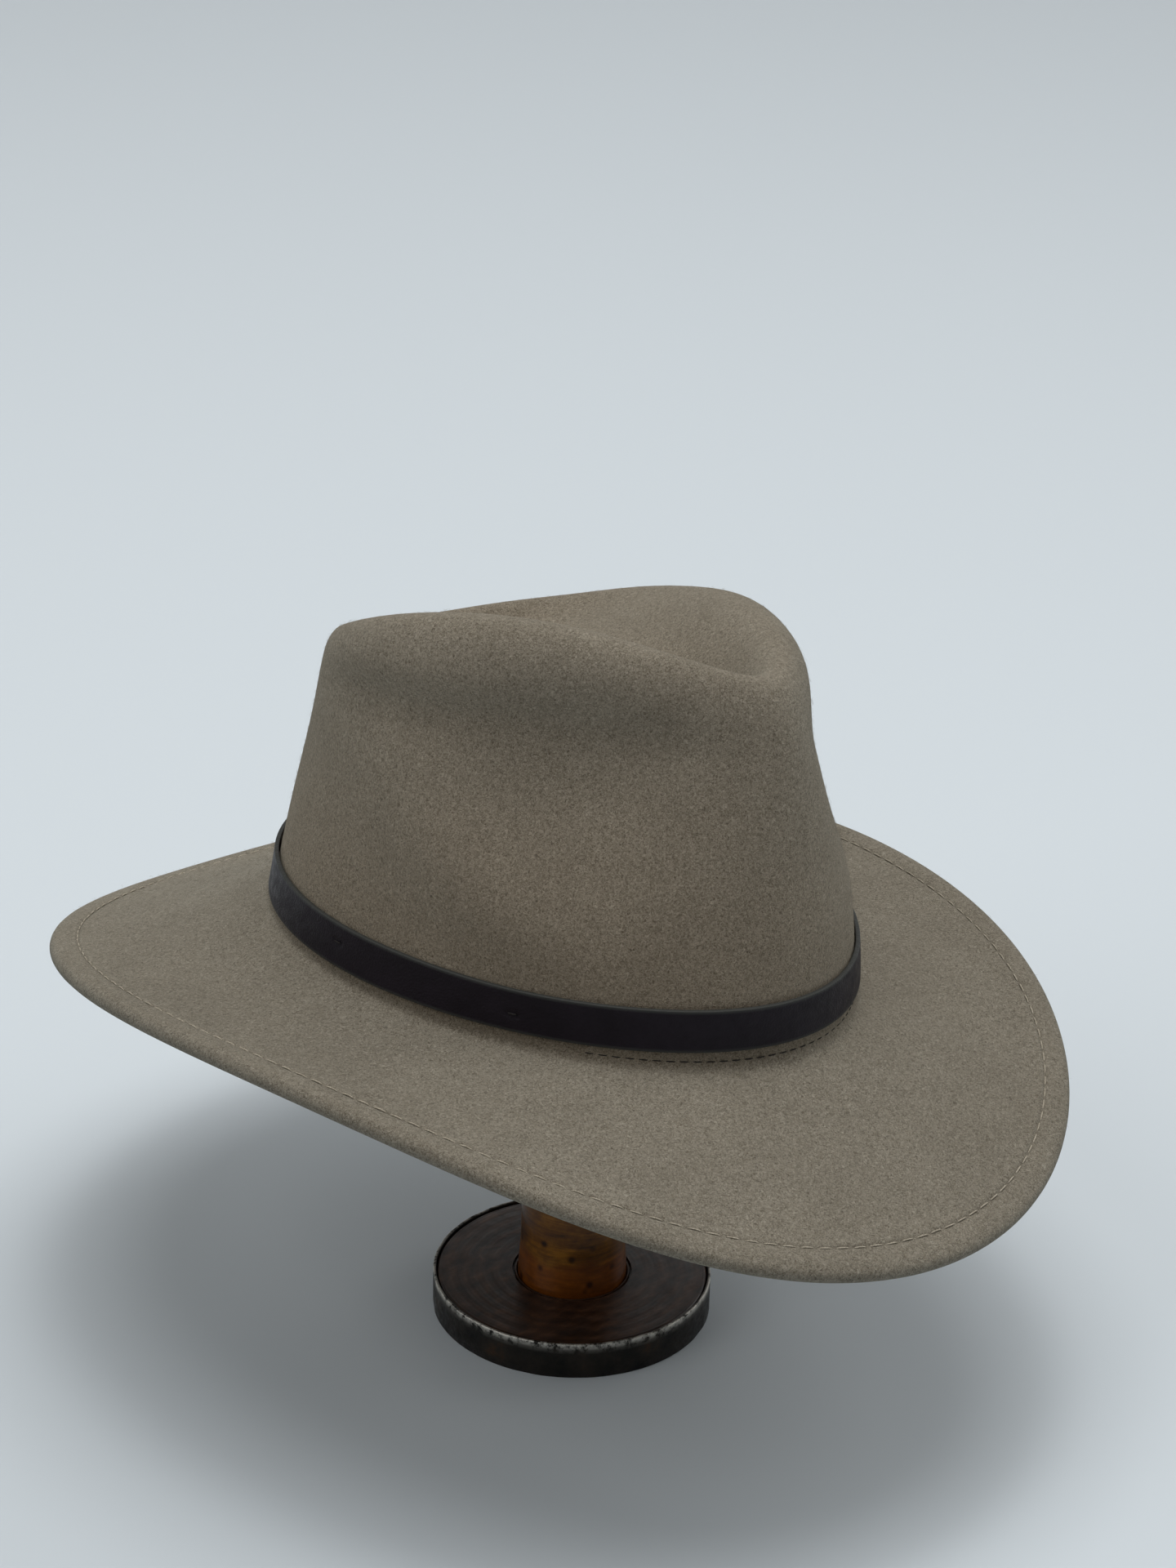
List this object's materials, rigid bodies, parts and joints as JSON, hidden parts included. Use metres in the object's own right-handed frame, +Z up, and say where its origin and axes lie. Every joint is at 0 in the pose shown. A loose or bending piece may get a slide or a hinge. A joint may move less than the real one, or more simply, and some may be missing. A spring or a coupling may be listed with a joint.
{
  "type": "felt hat on a spool stand",
  "caption": "Wide-brimmed felt hat with a pinched teardrop crown, leather band and stitched turned edge, resting on a small hooped wooden spool stand",
  "frame": {"origin": "centre of the stand plate's underside, on the surface that it stands on", "axes": "+Z up along the stand's column, the hat's front faces -Y, the wearer's right is -X"},
  "size_m": [0.3004, 0.363, 0.2727],
  "materials": {
    "felt": "matte",
    "band_leather": "satin",
    "sweatband_leather": "satin",
    "plate_wood": "satin",
    "column_wood": "varnished",
    "hoop_iron": "worn"
  },
  "bodies": {
    "root": {"felt_body": "felt", "hat_band": "band_leather", "sweatband": "sweatband_leather", "stand_base": "plate_wood", "base_hoop": "hoop_iron", "stand_column": "column_wood", "stand_head": "column_wood"}
  },
  "joints": []
}
